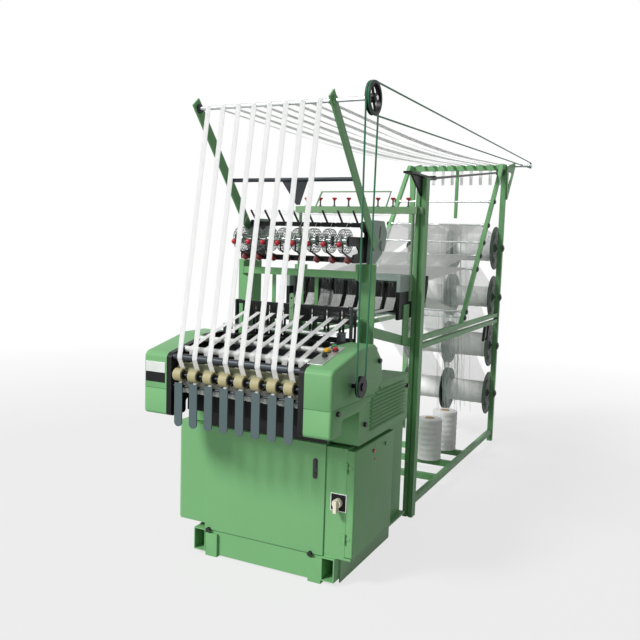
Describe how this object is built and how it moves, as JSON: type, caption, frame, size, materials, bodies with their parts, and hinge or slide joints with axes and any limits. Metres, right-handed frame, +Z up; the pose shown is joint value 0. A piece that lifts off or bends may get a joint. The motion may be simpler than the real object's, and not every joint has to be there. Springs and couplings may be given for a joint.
{
  "type": "narrow fabric needle loom",
  "caption": "Green narrow fabric needle loom weaving a row of tapes, with front take-up rollers, weft feeders, overhead tape return, heddle harness and a rear creel of warp beams",
  "frame": {"origin": "on the floor at the centre of the loom's base frame", "axes": "+X across the heads to the drive side, +Y from the operator to the creel, +Z up"},
  "size_m": [1.0995, 3.76, 2.371],
  "materials": {
    "green_paint": "satin machine paint",
    "grey_green_cast": "pale grey-green paint on castings",
    "black_paint": "black satin paint",
    "dark_steel": "blued steel",
    "slate_steel": "slate grey lever blades",
    "bright_steel": "ground steel",
    "brushed_plate": "brushed plate",
    "heddle_alloy": "bare alloy frames",
    "beam_alloy": "dark cast flanges",
    "dark_plastic": "black moulding",
    "cream_plastic": "cream moulding",
    "white_plastic": "white moulding",
    "yellow_plastic": "yellow button",
    "red_plastic": "red moulding",
    "green_plastic": "green button",
    "lamp_red": "lamp lens",
    "olive_rubber": "olive rubber",
    "belt_rubber": "green belt",
    "white_fabric": "white woven tape and yarn"
  },
  "bodies": {
    "loom_frame": {"base_frame": "green_paint", "main_cabinet": "green_paint", "front_panel": "green_paint", "side_box": "green_paint", "electric_box": "green_paint", "control_gear": "dark_plastic", "door_hinges": "dark_steel", "end_housings": "green_paint", "side_plates": "black_paint", "front_axles": "bright_steel", "loom_bed": "black_paint", "louvre_covers": "green_paint", "face_plates": "brushed_plate", "black_knobs": "dark_plastic", "loom_uprights": "green_paint", "end_brackets": "grey_green_cast", "support_arms": "grey_green_cast", "feeder_frame": "black_paint", "red_knobs": "red_plastic", "needle_bed": "dark_steel", "harness_guides": "dark_steel", "yarn_rail": "grey_green_cast", "creel_frame": "green_paint", "creel_rods": "bright_steel", "tapes": "white_fabric", "belts": "belt_rubber", "warp_sheets": "white_fabric", "let_off_weights": "dark_steel", "yarn_packages": "white_fabric"},
    "door": {"electric_door": "green_paint", "door_lamps": "lamp_red"},
    "mains_switch": {"rotary_knob": "cream_plastic"},
    "black_button": {"button_black": "dark_plastic"},
    "yellow_button": {"button_yellow": "yellow_plastic"},
    "red_button": {"button_red": "red_plastic"},
    "green_button": {"button_green": "green_plastic"},
    "lever_1": {"release_lever_1": "slate_steel"},
    "lever_2": {"release_lever_2": "slate_steel"},
    "lever_3": {"release_lever_3": "slate_steel"},
    "lever_4": {"release_lever_4": "slate_steel"},
    "lever_5": {"release_lever_5": "slate_steel"},
    "lever_6": {"release_lever_6": "slate_steel"},
    "lever_7": {"release_lever_7": "slate_steel"},
    "lever_8": {"release_lever_8": "slate_steel"},
    "press_rollers": {"press_rollers": "olive_rubber"},
    "lower_rollers": {"lower_rollers": "white_plastic"},
    "takeup_drum": {"takeup_drum": "olive_rubber"},
    "drive_shaft": {"drive_shaft": "dark_steel"},
    "top_shaft": {"top_shaft": "dark_steel"},
    "rear_roller": {"rear_roller": "bright_steel"},
    "feeder_wheels": {"feeder_wheels": "bright_steel"},
    "batten": {"batten": "black_paint"},
    "weft_needles": {"weft_needles": "bright_steel"},
    "latch_needles": {"latch_needles": "bright_steel"},
    "heddles_a": {"heddle_frames_a": "heddle_alloy"},
    "heddles_b": {"heddle_frames_b": "heddle_alloy"},
    "beam_1": {"warp_beam_1": "beam_alloy"},
    "beam_2": {"warp_beam_2": "beam_alloy"},
    "beam_3": {"warp_beam_3": "beam_alloy"},
    "beam_4": {"warp_beam_4": "beam_alloy"}
  },
  "joints": [
    {"name": "door_hinge", "type": "hinge", "parent": "loom_frame", "child": "door", "pos_m": [0.45, -0.346, 0.415], "axis": [0, 0, -1], "range_deg": [0, 105]},
    {"name": "mains_switch_turn", "type": "hinge", "parent": "loom_frame", "child": "mains_switch", "pos_m": [0.411, -0.35, 0.417], "axis": [0, 1, 0], "range_deg": [0, 90]},
    {"name": "black_button_press", "type": "slide", "parent": "loom_frame", "child": "black_button", "axis": [0, 0.2141, -0.9768], "range_m": [0, 0.003], "stiffness_N_per_m": 300, "springref_m": -0.001},
    {"name": "yellow_button_press", "type": "slide", "parent": "loom_frame", "child": "yellow_button", "axis": [0, 0.2141, -0.9768], "range_m": [0, 0.003], "stiffness_N_per_m": 300, "springref_m": -0.001},
    {"name": "red_button_press", "type": "slide", "parent": "loom_frame", "child": "red_button", "axis": [0, 0.2141, -0.9768], "range_m": [0, 0.003], "stiffness_N_per_m": 300, "springref_m": -0.001},
    {"name": "green_button_press", "type": "slide", "parent": "loom_frame", "child": "green_button", "axis": [0, 0.2141, -0.9768], "range_m": [0, 0.003], "stiffness_N_per_m": 300, "springref_m": -0.001},
    {"name": "lever_1_swing", "type": "hinge", "parent": "loom_frame", "child": "lever_1", "pos_m": [-0.2975, -0.634, 0.944], "axis": [-1, 0, 0], "range_deg": [0, 45]},
    {"name": "lever_2_swing", "type": "hinge", "parent": "loom_frame", "child": "lever_2", "pos_m": [-0.2125, -0.634, 0.944], "axis": [-1, 0, 0], "range_deg": [0, 45]},
    {"name": "lever_3_swing", "type": "hinge", "parent": "loom_frame", "child": "lever_3", "pos_m": [-0.1275, -0.634, 0.944], "axis": [-1, 0, 0], "range_deg": [0, 45]},
    {"name": "lever_4_swing", "type": "hinge", "parent": "loom_frame", "child": "lever_4", "pos_m": [-0.0425, -0.634, 0.944], "axis": [-1, 0, 0], "range_deg": [0, 45]},
    {"name": "lever_5_swing", "type": "hinge", "parent": "loom_frame", "child": "lever_5", "pos_m": [0.0425, -0.634, 0.944], "axis": [-1, 0, 0], "range_deg": [0, 45]},
    {"name": "lever_6_swing", "type": "hinge", "parent": "loom_frame", "child": "lever_6", "pos_m": [0.1275, -0.634, 0.944], "axis": [-1, 0, 0], "range_deg": [0, 45]},
    {"name": "lever_7_swing", "type": "hinge", "parent": "loom_frame", "child": "lever_7", "pos_m": [0.2125, -0.634, 0.944], "axis": [-1, 0, 0], "range_deg": [0, 45]},
    {"name": "lever_8_swing", "type": "hinge", "parent": "loom_frame", "child": "lever_8", "pos_m": [0.2975, -0.634, 0.944], "axis": [-1, 0, 0], "range_deg": [0, 45]},
    {"name": "press_roller_spin", "type": "hinge", "parent": "loom_frame", "child": "press_rollers", "pos_m": [0, -0.64, 1], "axis": [1, 0, 0], "continuous": true},
    {"name": "lower_roller_spin", "type": "hinge", "parent": "loom_frame", "child": "lower_rollers", "pos_m": [0, -0.592, 0.935], "axis": [1, 0, 0], "continuous": true},
    {"name": "drum_spin", "type": "hinge", "parent": "loom_frame", "child": "takeup_drum", "pos_m": [0, -0.5744, 1.012], "axis": [1, 0, 0], "continuous": true},
    {"name": "drive_spin", "type": "hinge", "parent": "loom_frame", "child": "drive_shaft", "pos_m": [0.45, -0.44, 1.004], "axis": [1, 0, 0], "continuous": true},
    {"name": "top_shaft_spin", "type": "hinge", "parent": "loom_frame", "child": "top_shaft", "pos_m": [0, -0.431, 2.263], "axis": [1, 0, 0], "continuous": true},
    {"name": "rear_roller_spin", "type": "hinge", "parent": "loom_frame", "child": "rear_roller", "pos_m": [0, 3.06, 2.347], "axis": [1, 0, 0], "continuous": true},
    {"name": "feeder_spin", "type": "hinge", "parent": "loom_frame", "child": "feeder_wheels", "pos_m": [0, -0.12, 1.648], "axis": [1, 0, 0], "continuous": true},
    {"name": "batten_rock", "type": "hinge", "parent": "loom_frame", "child": "batten", "pos_m": [0, -0.034, 1.114], "axis": [1, 0, 0], "range_deg": [-8, 8]},
    {"name": "weft_needle_slide", "type": "slide", "parent": "loom_frame", "child": "weft_needles", "axis": [1, 0, 0], "range_m": [-0.012, 0.012]},
    {"name": "latch_needle_slide", "type": "slide", "parent": "loom_frame", "child": "latch_needles", "axis": [0, 1, 0], "range_m": [-0.015, 0.015]},
    {"name": "heddle_a_lift", "type": "slide", "parent": "loom_frame", "child": "heddles_a", "axis": [0, 0, 1], "range_m": [-0.025, 0.025]},
    {"name": "heddle_b_lift", "type": "slide", "parent": "loom_frame", "child": "heddles_b", "axis": [0, 0, 1], "range_m": [-0.025, 0.025]},
    {"name": "beam_1_spin", "type": "hinge", "parent": "loom_frame", "child": "beam_1", "pos_m": [0, 2.8, 1.64], "axis": [1, 0, 0], "continuous": true},
    {"name": "beam_2_spin", "type": "hinge", "parent": "loom_frame", "child": "beam_2", "pos_m": [0, 2.8, 1.23], "axis": [1, 0, 0], "continuous": true},
    {"name": "beam_3_spin", "type": "hinge", "parent": "loom_frame", "child": "beam_3", "pos_m": [0, 2.8, 0.82], "axis": [1, 0, 0], "continuous": true},
    {"name": "beam_4_spin", "type": "hinge", "parent": "loom_frame", "child": "beam_4", "pos_m": [0, 2.8, 0.41], "axis": [1, 0, 0], "continuous": true}
  ],
  "couplings": [
    {"joint": "press_roller_spin", "follows": "drum_spin", "ratio": -1.1623},
    {"joint": "drive_spin", "follows": "top_shaft_spin", "ratio": 1.5357},
    {"joint": "rear_roller_spin", "follows": "top_shaft_spin", "ratio": 3.4747},
    {"joint": "latch_needle_slide", "follows": "batten_rock", "m_per_rad": -0.1},
    {"joint": "weft_needle_slide", "follows": "batten_rock", "m_per_rad": 0.08},
    {"joint": "heddle_b_lift", "follows": "heddle_a_lift", "ratio": -1}
  ]
}
